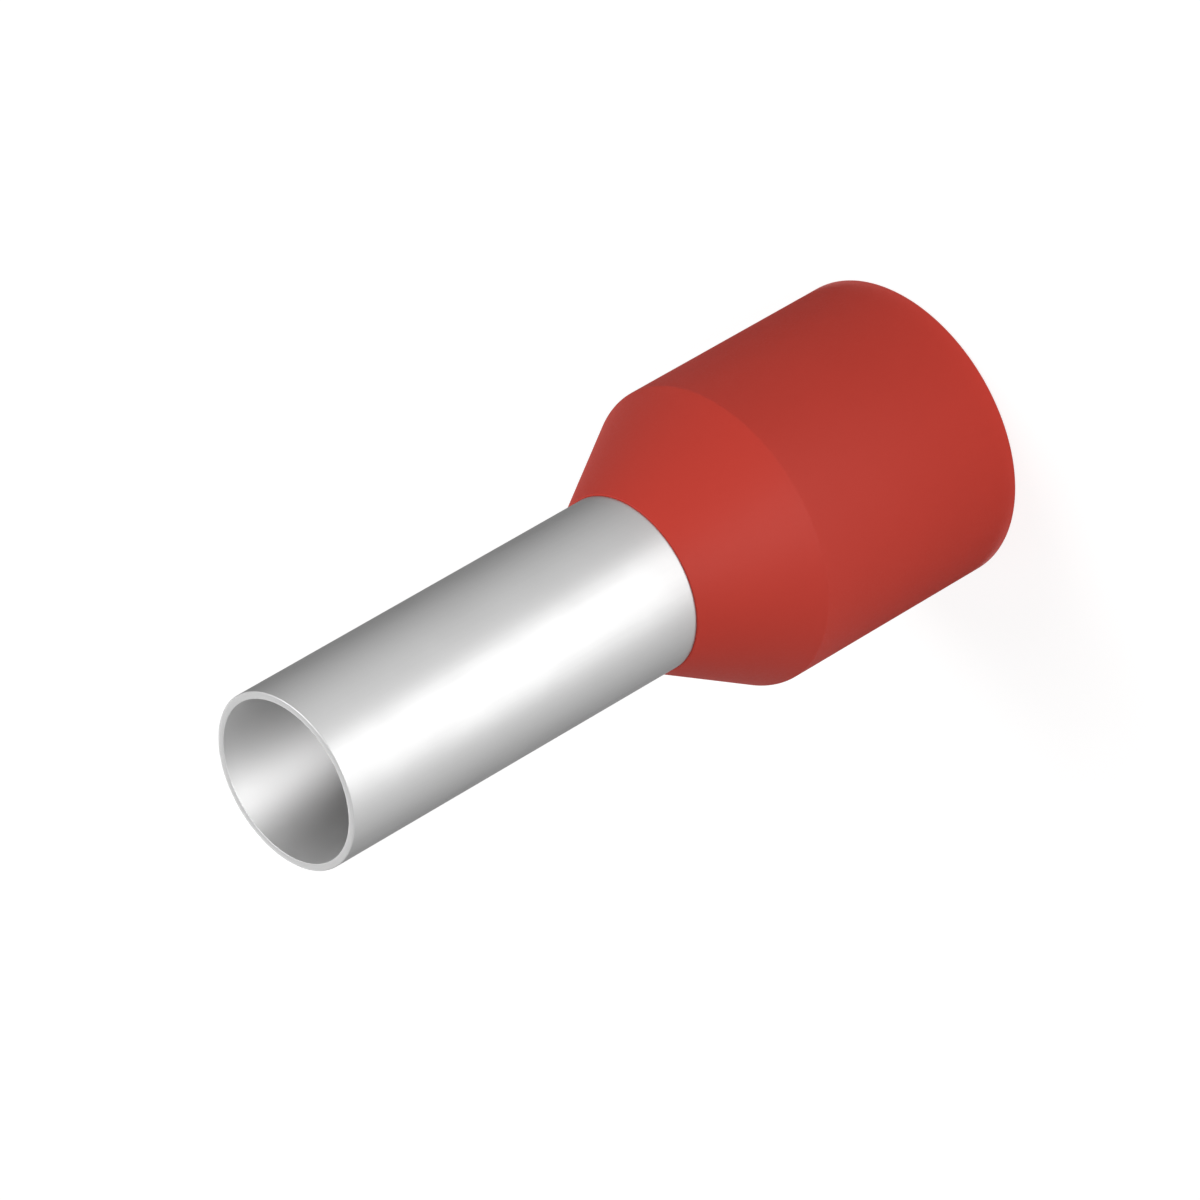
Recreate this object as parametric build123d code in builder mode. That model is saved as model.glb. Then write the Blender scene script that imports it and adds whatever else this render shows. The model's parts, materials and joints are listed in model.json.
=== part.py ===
from build123d import *

import os
from math import atan2, cos, sin, tan

# Insulated wire ferrule for a 10 mm2 stranded wire, in millimetres.
# A thin tinned copper sleeve has a flared rear end, which is seated in a moulded plastic collar.
# +Z runs along the axis, from the collar's wire entry to the sleeve's mouth.
# The origin is the centre of the wire entry's rim, on which the ferrule stands.

# Sleeve
sleeve_bore = 4.5
sleeve_wall = 0.2
bare_length = 12.0  # the tube that stands out of the collar
flare_length = 0.8  # the straight part of the flare, past its bend
mouth_edge_radius = 0.03

# Collar
collar_length = 10.0
collar_bore = 7.6
collar_wall = 0.4
taper_length = 3.0
nose_land = 0.05  # the blunt front edge around the sleeve
grip_length = 0.15  # straight tube behind the nose, before the flare's bend
flare_cover = 0.4  # plastic between the flare and the taper's outside
shoulder_radius = 0.15
rim_radius = 0.1
funnel_blend_radius = 0.6

# Heights and radii that follow from them
mouth_height = collar_length + bare_length
sleeve_radius = sleeve_bore / 2 + sleeve_wall
nose_radius = sleeve_radius + nose_land
bore_radius = collar_bore / 2
collar_radius = bore_radius + collar_wall
shoulder_height = collar_length - taper_length

# The flare, its seat and the funnel all lie at the taper's angle from the axis
taper_angle = atan2(collar_radius - nose_radius, taper_length)
neck_depth = (flare_cover / cos(taper_angle) - nose_land) / tan(taper_angle)
neck_height = collar_length - neck_depth

# The bend starts where the grip ends, and runs as far past the neck as before it
bend_run = neck_depth - grip_length
flare_bend_radius = bend_run / tan(taper_angle / 2)
flare_edge_radius = sleeve_radius + (bend_run + flare_length) * sin(taper_angle)
flare_edge_height = neck_height - (bend_run + flare_length) * cos(taper_angle)

# The flare's cut end is square to the sheet, and the funnel starts flush with its inner corner
flare_lip_radius = flare_edge_radius - sleeve_wall * cos(taper_angle)
flare_lip_height = flare_edge_height - sleeve_wall * sin(taper_angle)
funnel_height = flare_lip_height - (bore_radius - flare_lip_radius) / tan(taper_angle)

# Points of the half section, as distance from the axis and height
neck = (sleeve_radius, neck_height)
flare_edge = (flare_edge_radius, flare_edge_height)

# Contact sleeve: one sheet wall of even thickness, drawn by its outer line
with BuildPart() as contact_sleeve:
    with BuildSketch(Plane.XZ) as sleeve_section:
        with BuildLine():
            FilletPolyline((sleeve_radius, mouth_height), neck, flare_edge, radius=flare_bend_radius)
            offset(amount=sleeve_wall, side=Side.RIGHT, closed=True)
        make_face()
        mouth_corners = sleeve_section.vertices().group_by(Axis.Y)[-1]
        fillet(mouth_corners, radius=mouth_edge_radius)
    revolve(axis=Axis.Z)
contact_sleeve.part.label = "contact_sleeve"

# Insulating collar: its front grips the tube and the flare along the sleeve's own outer line
with BuildPart() as insulating_collar:
    with BuildSketch(Plane.XZ) as collar_section:
        with BuildLine():
            FilletPolyline((sleeve_radius, collar_length), neck, flare_edge, radius=flare_bend_radius)
            Polyline(
                flare_edge,
                (flare_lip_radius, flare_lip_height),
                (bore_radius, funnel_height),
                (bore_radius, 0),
                (collar_radius, 0),
                (collar_radius, shoulder_height),
                (nose_radius, collar_length),
                (sleeve_radius, collar_length),
            )
        make_face()
        rim_corners = collar_section.vertices().group_by(Axis.Y)[0]
        fillet(rim_corners, radius=rim_radius)
        shoulder = collar_section.vertices().group_by(Axis.X)[-1].sort_by(Axis.Y)[-1]
        fillet(shoulder, radius=shoulder_radius)
        funnel_corner = collar_section.vertices().sort_by_distance((bore_radius, funnel_height))[0]
        fillet(funnel_corner, radius=funnel_blend_radius)
    revolve(axis=Axis.Z)
insulating_collar.part.label = "insulating_collar"

os.makedirs("parts", exist_ok=True)
export_step(contact_sleeve.part, "parts/contact_sleeve.step")
export_step(insulating_collar.part, "parts/insulating_collar.step")
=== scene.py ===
import json
import math
import bmesh
import bpy
from mathutils import Matrix, Vector


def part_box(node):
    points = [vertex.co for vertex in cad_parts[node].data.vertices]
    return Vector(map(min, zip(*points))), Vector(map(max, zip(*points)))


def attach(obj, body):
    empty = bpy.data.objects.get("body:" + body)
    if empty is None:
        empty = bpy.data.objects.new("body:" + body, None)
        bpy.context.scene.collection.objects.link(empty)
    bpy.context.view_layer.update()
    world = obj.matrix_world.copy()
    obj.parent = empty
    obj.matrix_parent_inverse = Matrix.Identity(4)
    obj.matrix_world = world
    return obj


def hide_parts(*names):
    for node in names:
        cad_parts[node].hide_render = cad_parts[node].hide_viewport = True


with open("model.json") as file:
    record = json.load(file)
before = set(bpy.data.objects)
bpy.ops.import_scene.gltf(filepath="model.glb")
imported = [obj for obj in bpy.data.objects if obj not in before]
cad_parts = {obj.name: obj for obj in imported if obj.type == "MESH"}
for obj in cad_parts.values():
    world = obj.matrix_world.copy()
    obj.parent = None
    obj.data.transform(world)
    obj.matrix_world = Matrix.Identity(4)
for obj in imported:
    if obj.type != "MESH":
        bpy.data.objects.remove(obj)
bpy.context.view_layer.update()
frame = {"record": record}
mm = 0.001
weldDistance = 1e-7  # m, within which points count as one
mountSizes = {mount["name"]: mount["dims"] for mount in frame["record"]["mounts"]}
sleeveLow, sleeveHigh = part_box("contact_sleeve")
collarLow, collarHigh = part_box("insulating_collar")

# the line that both pieces share, from the collar's nose to the flare's edge, in mm
seat = {
    "taperLength": 3.0,
    "noseLand": 0.05,  # blunt plastic edge around the tube
    "gripLength": 0.15,  # straight tube behind the nose
}
tubeRadius = mountSizes["bare_sleeve"]["r_mm"] * mm
tubeBore = mountSizes["conductor_bore"]["r_mm"] * mm
sheet = tubeRadius - tubeBore
collarRadius = collarHigh.x
collarBore = mountSizes["insulation_bore"]["r_mm"] * mm
noseHeight = collarHigh.z
noseRadius = tubeRadius + seat["noseLand"] * mm
shoulderHeight = noseHeight - seat["taperLength"] * mm
taperAngle = math.atan2(collarRadius - noseRadius, seat["taperLength"] * mm)
flareEdge = (sleeveHigh.x, sleeveLow.z + sheet * math.sin(taperAngle))
flareLip = (sleeveHigh.x - sheet * math.cos(taperAngle), sleeveLow.z)
neckHeight = flareEdge[1] + (flareEdge[0] - tubeRadius) / math.tan(taperAngle)
neck = (tubeRadius, neckHeight)
bendRun = noseHeight - neckHeight - seat["gripLength"] * mm


def turnWall(corners, steps):
    # a closed half section, given as radius and height, spun round the ferrule's axis
    wall = bmesh.new()
    points = [wall.verts.new((radius, 0, height)) for radius, height in corners]
    for first, second in zip(points, points[1:] + points[:1]):
        wall.edges.new((first, second))
    bmesh.ops.spin(wall, geom=wall.verts[:] + wall.edges[:], axis=(0, 0, 1), cent=(0, 0, 0),
                   dvec=(0, 0, 0), angle=math.tau, steps=steps, use_merge=True)
    bmesh.ops.remove_doubles(wall, verts=wall.verts, dist=weldDistance)
    bmesh.ops.recalc_face_normals(wall, faces=wall.faces)
    return wall


def roundRing(wall, corner, cutBack, segments):
    # bevels the ring that a corner made; cutBack is how far from the corner the rounding starts
    def onRing(vert):
        return math.dist((math.hypot(vert.co.x, vert.co.y), vert.co.z), corner) < weldDistance
    ring = [edge for edge in wall.edges if all(onRing(vert) for vert in edge.verts)]
    bmesh.ops.bevel(wall, geom=ring, offset=cutBack, offset_type="OFFSET", affect="EDGES",
                    segments=segments, profile=0.5, material=-1)


def makeObject(shape, name, material):
    mesh = bpy.data.meshes.new(name)
    shape.to_mesh(mesh)
    shape.free()
    mesh.materials.append(material)
    made = bpy.data.objects.new(name, mesh)
    bpy.context.scene.collection.objects.link(made)
    return made


def finishPiece(wall, name, node, material):
    for face in wall.faces:
        face.smooth = True
    piece = makeObject(wall, name, material)
    weighted = piece.modifiers.new("flatFacesLead", "WEIGHTED_NORMAL")
    weighted.weight = 100  # the largest faces lead, which keeps long walls free of false shading
    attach(piece, "root")
    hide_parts(node)
    print(name, "made,", len(piece.data.polygons), "faces")


def hexColour(text):
    channels = [int(text[i:i + 2], 16) / 255 for i in (1, 3, 5)]
    return [c / 12.92 if c <= 0.04045 else ((c + 0.055) / 1.055) ** 2.4 for c in channels] + [1.0]


def addNode(tree, kind, inputs, **settings):
    # inputs are values or other nodes' sockets, by the input's name or number;
    # on a Mix node, 0 is the factor, 2 and 3 are two numbers, and 6 and 7 are two colours
    node = tree.nodes.new(kind)
    for name, value in settings.items():
        setattr(node, name, value)
    for key, value in inputs.items():
        if isinstance(value, bpy.types.NodeSocket):
            tree.links.new(value, node.inputs[key])
        else:
            node.inputs[key].default_value = value
    return node


def newMaterial(name):
    material = bpy.data.materials.new(name)
    material.use_nodes = True
    material.node_tree.nodes.clear()
    return material, material.node_tree


# Tin-plated copper: drawn tube, cut and flared, then barrel plated with matt tin. To the eye it is
# a pale neutral metal with a soft wide highlight, faint lines along the draw and a slight cloudiness.
tinFinish = {
    "colour": "#BDBDBD",
    "cloudColour": "#B8B8B8",
    "roughness": (0.40, 0.46),
    "wear": (0.1, 0.4),  # levels of lines times clouds, over which the roughness rises
    "edgeTint": "#CBCBCB",  # matt tin stays duller at a grazing angle than polished metal
    "lineSpacing": 0.07,  # mm round the tube, as coarse as it needs to show
    "lineLength": 5.0,  # mm along the draw
    "lineDepth": 0.0006,  # mm
    "cloudSize": 1.4,  # mm
    "insideLitColour": "#DCDCDC",  # paler inside the tube than outside: painted light that brightens the dim inside of the mouth; the plating is also duller there
    "insideRoughness": 0.49,
    "insideFrom": -0.5,  # how far a face has to turn to the axis, where -1 faces it, to count as inside
}


def tinnedCopper():
    look = tinFinish
    material, tree = newMaterial("tinPlatedCopperDrawn")
    texture = addNode(tree, "ShaderNodeTexCoord", {})
    place = texture.outputs["Object"]
    across, along = 1 / (look["lineSpacing"] * mm), 1 / (look["lineLength"] * mm)
    stretched = addNode(tree, "ShaderNodeMapping", {"Vector": place, "Scale": (across, across, along)})
    lines = addNode(tree, "ShaderNodeTexNoise", {
        "Vector": stretched.outputs[0], "Scale": 1.0, "Detail": 3.0}).outputs["Fac"]
    clouds = addNode(tree, "ShaderNodeTexNoise", {
        "Vector": place, "Scale": 1 / (look["cloudSize"] * mm), "Detail": 4.0}).outputs["Fac"]
    tone = addNode(tree, "ShaderNodeMix", {
        0: clouds, 6: hexColour(look["colour"]), 7: hexColour(look["cloudColour"])}, data_type="RGBA")
    worn = addNode(tree, "ShaderNodeMath", {0: lines, 1: clouds}, operation="MULTIPLY")
    rough = addNode(tree, "ShaderNodeMapRange", {
        "Value": worn.outputs[0], "From Min": look["wear"][0], "From Max": look["wear"][1],
        "To Min": look["roughness"][0], "To Max": look["roughness"][1]})
    # the inner wall's normals point against their place's own direction from the axis
    fromAxis = addNode(tree, "ShaderNodeVectorMath", {0: place, 1: (1, 1, 0)}, operation="MULTIPLY")
    turned = addNode(tree, "ShaderNodeVectorMath", {
        0: texture.outputs["Normal"], 1: fromAxis.outputs[0]}, operation="DOT_PRODUCT")
    inside = addNode(tree, "ShaderNodeMath", {
        0: turned.outputs["Value"], 1: look["insideFrom"] * tubeBore}, operation="LESS_THAN").outputs[0]
    # the inner wall takes the paler colour, painted light for the inside of the mouth
    shownTone = addNode(tree, "ShaderNodeMix", {
        0: inside, 6: tone.outputs[2], 7: hexColour(look["insideLitColour"])}, data_type="RGBA")
    shownRough = addNode(tree, "ShaderNodeMix", {
        0: inside, 2: rough.outputs[0], 3: look["insideRoughness"]})
    bump = addNode(tree, "ShaderNodeBump", {
        "Height": lines, "Strength": 1.0, "Distance": look["lineDepth"] * mm})
    shader = addNode(tree, "ShaderNodeBsdfPrincipled", {
        "Base Color": shownTone.outputs[2], "Metallic": 1.0, "Specular Tint": hexColour(look["edgeTint"]),
        "Roughness": shownRough.outputs[0], "Normal": bump.outputs[0]})
    addNode(tree, "ShaderNodeOutputMaterial", {"Surface": shader.outputs[0]})
    return material


# Red polypropylene, injection moulded in a finely eroded tool: an even, slightly waxy colour with a
# satin skin, whose grain is too fine to see but for a soft break-up of the highlight.
plasticFinish = {
    "colour": "#C63E32",
    "deepColour": "#C13C30",
    "roughness": (0.5, 0.6),
    "grain": (0.3, 0.7),  # levels of the grain's noise, over which the roughness rises
    "ior": 1.49,
    "gloss": 0.16,  # specular level, low because the eroded skin scatters most of its shine
    "grainSize": 0.06,  # mm, as coarse as it needs to show
    "grainDepth": 0.0008,  # mm
    "flowSize": 3.0,  # mm
}


def redPolypropylene():
    look = plasticFinish
    material, tree = newMaterial("polypropyleneMoulded")
    place = addNode(tree, "ShaderNodeTexCoord", {}).outputs["Object"]
    grain = addNode(tree, "ShaderNodeTexNoise", {
        "Vector": place, "Scale": 1 / (look["grainSize"] * mm), "Detail": 2.0}).outputs["Fac"]
    flow = addNode(tree, "ShaderNodeTexNoise", {
        "Vector": place, "Scale": 1 / (look["flowSize"] * mm), "Detail": 2.0}).outputs["Fac"]
    tone = addNode(tree, "ShaderNodeMix", {
        0: flow, 6: hexColour(look["colour"]), 7: hexColour(look["deepColour"])}, data_type="RGBA")
    rough = addNode(tree, "ShaderNodeMapRange", {
        "Value": grain, "From Min": look["grain"][0], "From Max": look["grain"][1],
        "To Min": look["roughness"][0], "To Max": look["roughness"][1]})
    bump = addNode(tree, "ShaderNodeBump", {
        "Height": grain, "Strength": 1.0, "Distance": look["grainDepth"] * mm})
    shader = addNode(tree, "ShaderNodeBsdfPrincipled", {
        "Base Color": tone.outputs[2], "IOR": look["ior"], "Specular IOR Level": look["gloss"],
        "Roughness": rough.outputs[0], "Normal": bump.outputs[0]})
    addNode(tree, "ShaderNodeOutputMaterial", {"Surface": shader.outputs[0]})
    return material


# Contact sleeve, mm
contactSleeve = {
    "mouthRounding": 0.03,
    "cutRounding": 0.01,  # on the inner corner of both cut ends
    "roundingSegments": 4,
    "bendSegments": 12,
    "steps": 256,  # round the axis
}


def buildContactSleeve():
    look = contactSleeve
    # through the sheet, the corner of the bend moves down by this much
    cornerDrop = sheet * math.tan(taperAngle / 2)
    innerNeck = (tubeBore, neckHeight - cornerDrop)
    mouthOuter, mouthInner = (tubeRadius, sleeveHigh.z), (tubeBore, sleeveHigh.z)
    wall = turnWall([mouthOuter, neck, flareEdge, flareLip, innerNeck, mouthInner], look["steps"])
    roundRing(wall, neck, bendRun, look["bendSegments"])
    roundRing(wall, innerNeck, bendRun + cornerDrop, look["bendSegments"])
    roundRing(wall, mouthOuter, look["mouthRounding"] * mm, look["roundingSegments"])
    for corner in (mouthInner, flareLip):
        roundRing(wall, corner, look["cutRounding"] * mm, look["roundingSegments"])
    finishPiece(wall, "contactSleeve", "contact_sleeve", tinnedCopper())


# Insulating collar, mm
insulatingCollar = {
    "shoulderRounding": 0.15,
    "rimRounding": 0.1,
    "funnelRounding": 0.6,
    "noseRounding": 0.02,
    "roundingSegments": 6,
    "bendSegments": 12,
    "steps": 256,  # round the axis
}


def buildInsulatingCollar():
    look = insulatingCollar
    funnel = (collarBore, flareLip[1] - (collarBore - flareLip[0]) / math.tan(taperAngle))
    rimInner, rimOuter = (collarBore, collarLow.z), (collarRadius, collarLow.z)
    shoulder, nose = (collarRadius, shoulderHeight), (noseRadius, noseHeight)
    wall = turnWall([(tubeRadius, noseHeight), neck, flareEdge, flareLip, funnel,
                     rimInner, rimOuter, shoulder, nose], look["steps"])
    halfTaper = math.tan(taperAngle / 2)
    roundRing(wall, neck, bendRun, look["bendSegments"])
    roundRing(wall, shoulder, look["shoulderRounding"] * mm * halfTaper, look["roundingSegments"])
    roundRing(wall, funnel, look["funnelRounding"] * mm * halfTaper, look["roundingSegments"])
    roundRing(wall, nose, look["noseRounding"] * mm, look["roundingSegments"])
    for corner in (rimInner, rimOuter):
        roundRing(wall, corner, look["rimRounding"] * mm, look["roundingSegments"])
    finishPiece(wall, "insulatingCollar", "insulating_collar", redPolypropylene())


buildContactSleeve()
buildInsulatingCollar()

# Studio: a white floor and white surroundings for the camera and for reflections, in which
# the glowing card further down, a painted reflection, covers the floor near the ferrule
studio = {
    "floorSize": 3.0,  # m
    "floorColour": "#CDCDCB",
    "paintedFootGlow": 0.17,  # painted fill light: the paper itself glows at the ferrule's foot and lifts the collar's darker foot
    "paintedFootGlowReach": (5, 12),  # mm from the axis, over which it fades out
    "surroundings": 0.19,  # soft light from all round, where 1 is white
    "backdrop": 1.0,
    "floorGlow": (0.82, 1.0),  # what the camera sees in full shadow, near the ferrule and far from it
    "glowReach": (30, 200),  # mm from the axis, where the glow starts to rise and where it ends
    "floorShade": "#999999",  # how much the lamps add to it
}


def seenDirectly(tree):
    # 1 for what the camera, a reflection or clear material sees, 0 for the light on the ferrule
    path = addNode(tree, "ShaderNodeLightPath", {})
    seen = path.outputs["Is Camera Ray"]
    for ray in ("Is Glossy Ray", "Is Transmission Ray"):
        seen = addNode(tree, "ShaderNodeMath", {
            0: seen, 1: path.outputs[ray]}, operation="MAXIMUM").outputs[0]
    return seen


def buildSurroundings():
    world = bpy.data.worlds.new("studioWhite")
    world.use_nodes = True
    bpy.context.scene.world = world
    tree = world.node_tree
    tree.nodes.clear()
    white = hexColour("#FFFFFF")
    soft = addNode(tree, "ShaderNodeBackground", {"Color": white, "Strength": studio["surroundings"]})
    backdrop = addNode(tree, "ShaderNodeBackground", {"Color": white, "Strength": studio["backdrop"]})
    mix = addNode(tree, "ShaderNodeMixShader", {
        0: seenDirectly(tree), 1: soft.outputs[0], 2: backdrop.outputs[0]})
    addNode(tree, "ShaderNodeOutputWorld", {"Surface": mix.outputs[0]})


def buildFloor():
    material, tree = newMaterial("floorPaper")
    place = addNode(tree, "ShaderNodeTexCoord", {}).outputs["Object"]
    reach = addNode(tree, "ShaderNodeVectorMath", {0: place}, operation="LENGTH").outputs["Value"]
    # what lights the ferrule: the paper, and at the foot the paper's own glow, a painted fill light
    paper = addNode(tree, "ShaderNodeBsdfDiffuse", {"Color": hexColour(studio["floorColour"])})
    through = addNode(tree, "ShaderNodeMapRange", {
        "Value": reach, "From Min": studio["paintedFootGlowReach"][0] * mm,
        "From Max": studio["paintedFootGlowReach"][1] * mm, "To Min": studio["paintedFootGlow"], "To Max": 0.0})
    # the paper glows near the foot though it is no lamp: painted fill light on the collar
    under = addNode(tree, "ShaderNodeEmission", {"Strength": through.outputs[0]})
    lit = addNode(tree, "ShaderNodeAddShader", {0: paper.outputs[0], 1: under.outputs[0]})
    # what is seen: a white that keeps a little of the lamps' light, and so of the shadow
    level = addNode(tree, "ShaderNodeMapRange", {
        "Value": reach, "From Min": studio["glowReach"][0] * mm, "From Max": studio["glowReach"][1] * mm,
        "To Min": studio["floorGlow"][0], "To Max": studio["floorGlow"][1]})
    glow = addNode(tree, "ShaderNodeEmission", {"Strength": level.outputs[0]})
    shade = addNode(tree, "ShaderNodeBsdfDiffuse", {"Color": hexColour(studio["floorShade"])})
    shown = addNode(tree, "ShaderNodeAddShader", {0: glow.outputs[0], 1: shade.outputs[0]})
    mix = addNode(tree, "ShaderNodeMixShader", {
        0: seenDirectly(tree), 1: lit.outputs[0], 2: shown.outputs[0]})
    addNode(tree, "ShaderNodeOutputMaterial", {"Surface": mix.outputs[0]})
    square = bmesh.new()
    bmesh.ops.create_grid(square, x_segments=1, y_segments=1, size=studio["floorSize"] / 2)
    floor = makeObject(square, "floor", material)


# Soft lamps with white covers, mm; brightness is that of the cover, where 1 is white
softboxes = {
    "keySoftbox": {"at": (-61, -200, 80), "aim": (0, 0, 11), "size": (110, 90), "brightness": 8.4},
    "sideSoftbox": {"at": (110, 11, 200), "aim": (0, 0, 11), "size": (110, 110), "brightness": 5.6},
    "backSoftbox": {"at": (10, 218, 42), "aim": (0, 0, 11), "size": (110, 70), "brightness": 4.7},
    "lowPanel": {"at": (-9, -34.5, 0.5), "aim": (-9, -34.5, 50), "size": (31, 47), "brightness": 1.55,
                 "onlyMirrored": True},
}
# A narrow beam up through the wire entry, which lights the inside of the mouth;
# brightness is what white paper would show where the beam is aimed
entrySnoot = {"at": (0, -1, 0.5), "aim": (0.6, 2.25, 34), "beam": 12.0, "lampRadius": 0.3,
              "brightness": 1.7}


def placeLamp(light, lamp):
    place = Vector(lamp["at"]) * mm
    holder = bpy.data.objects.new(light.name, light)
    back = (place - Vector(lamp["aim"]) * mm).to_track_quat("Z", "Y")
    holder.matrix_world = Matrix.LocRotScale(place, back, None)
    holder.visible_camera = False
    bpy.context.scene.collection.objects.link(holder)
    return holder


def buildSoftbox(name, lamp):
    light = bpy.data.lights.new(name, "AREA")
    light.shape = "RECTANGLE"
    light.size, light.size_y = (side * mm for side in lamp["size"])
    light.energy = lamp["brightness"] * math.pi * light.size * light.size_y
    placeLamp(light, lamp).visible_diffuse = not lamp.get("onlyMirrored", False)


def buildSnoot():
    lamp = entrySnoot
    light = bpy.data.lights.new("entrySnoot", "SPOT")
    light.spot_size = math.radians(lamp["beam"])
    light.spot_blend = 1.0
    light.shadow_soft_size = lamp["lampRadius"] * mm
    light.energy = lamp["brightness"] * (2 * math.pi * math.dist(lamp["at"], lamp["aim"]) * mm) ** 2
    placeLamp(light, lamp)


# Graded glowing card on the floor, which only reflections see: a painted reflection, bright in front of the
# ferrule and dark behind it, with a painted contact shadow at its foot; it gives the metal and the gloss of
# the plastic their darker sides
paintedReflectionCard = {
    "innerRadius": 4.3,  # mm
    "outerRadius": 150,
    "height": 0.2,  # mm above the floor
    "steps": 96,  # round the axis
    "frontTone": 1.18,  # brightness, where 1 is white
    "behindTone": 0.24,
    # painted contact shadow at the ferrule's foot, seen only in reflections
    "footShadowTone": 0.12,
    "bearing": 8,  # degrees from straight behind towards +X, where the card is darkest
    "fade": (-0.5, 1.0),  # cosine of the angle from there, where the front tone starts to fade and ends
    "footShadowReach": (10, 14),  # mm from the axis, where the painted shadow at the foot starts to fade and where it ends
}


def buildPaintedReflectionCard():
    look = paintedReflectionCard
    material, tree = newMaterial("paintedReflectionCardPaper")
    place = addNode(tree, "ShaderNodeTexCoord", {}).outputs["Object"]
    reach = addNode(tree, "ShaderNodeVectorMath", {0: place}, operation="LENGTH").outputs["Value"]
    outward = addNode(tree, "ShaderNodeVectorMath", {0: place}, operation="NORMALIZE").outputs["Vector"]
    bearing = math.radians(look["bearing"])
    behind = addNode(tree, "ShaderNodeVectorMath", {
        0: outward, 1: (math.sin(bearing), math.cos(bearing), 0)}, operation="DOT_PRODUCT").outputs["Value"]
    far = addNode(tree, "ShaderNodeMapRange", {
        "Value": behind, "From Min": look["fade"][0], "From Max": look["fade"][1],
        "To Min": look["frontTone"], "To Max": look["behindTone"]}).outputs[0]
    tone = addNode(tree, "ShaderNodeMapRange", {
        "Value": reach, "From Min": look["footShadowReach"][0] * mm, "From Max": look["footShadowReach"][1] * mm,
        "To Min": look["footShadowTone"], "To Max": far}).outputs[0]
    # the card glows with these tones: a painted reflection, and painted shadow at the foot
    glow = addNode(tree, "ShaderNodeEmission", {"Strength": tone})
    addNode(tree, "ShaderNodeOutputMaterial", {"Surface": glow.outputs[0]})
    disc = bmesh.new()
    ends = [disc.verts.new((look[edge] * mm, 0, look["height"] * mm))
            for edge in ("innerRadius", "outerRadius")]
    disc.edges.new(ends)
    bmesh.ops.spin(disc, geom=disc.verts[:] + disc.edges[:], axis=(0, 0, 1), cent=(0, 0, 0),
                   dvec=(0, 0, 0), angle=math.tau, steps=look["steps"], use_merge=True)
    card = makeObject(disc, "paintedReflectionCard", material)
    card.visible_camera = card.visible_diffuse = card.visible_shadow = False


# Camera, as fitted to the photograph: the axis lies across the picture and leans away from the camera
photoCamera = {
    "pictureSide": 1200,  # pixels
    "focalPixels": 9727,
    "axisAcross": 29.99,  # degrees from the picture's right, mouth to collar
    "axisAway": 35.31,  # degrees that the collar leans away
    "mouthRight": -7.774,  # mm from the camera's line of sight
    "mouthUp": -4.492,
    "mouthAhead": 240.485,
}


def buildCamera():
    look = photoCamera
    across, away = math.radians(look["axisAcross"]), math.radians(look["axisAway"])
    # the ferrule's own axes, as the camera sees them
    up = -Vector((math.cos(away) * math.cos(across), math.cos(away) * math.sin(across), -math.sin(away)))
    sight = Vector((0, 0, -1))
    ahead = (sight - up * sight.dot(up)).normalized()
    turn = Matrix((ahead.cross(up), ahead, up))
    mouth = Vector((0, 0, sleeveHigh.z))
    seen = Vector((look["mouthRight"], look["mouthUp"], -look["mouthAhead"])) * mm
    lens = bpy.data.cameras.new("photoCamera")
    lens.lens = lens.sensor_width * look["focalPixels"] / look["pictureSide"]
    camera = bpy.data.objects.new("photoCamera", lens)
    camera.matrix_world = Matrix.LocRotScale(mouth - turn @ seen, turn.to_quaternion(), None)
    bpy.context.scene.collection.objects.link(camera)
    bpy.context.scene.camera = camera


buildSurroundings()
buildFloor()
for name, lamp in softboxes.items():
    buildSoftbox(name, lamp)
buildSnoot()
buildPaintedReflectionCard()
print("studio ready,", len(softboxes), "soft lamps and the beam")
buildCamera()
bpy.context.scene.view_settings.view_transform = "Standard"
print("camera ready, lens", round(bpy.context.scene.camera.data.lens), "mm")
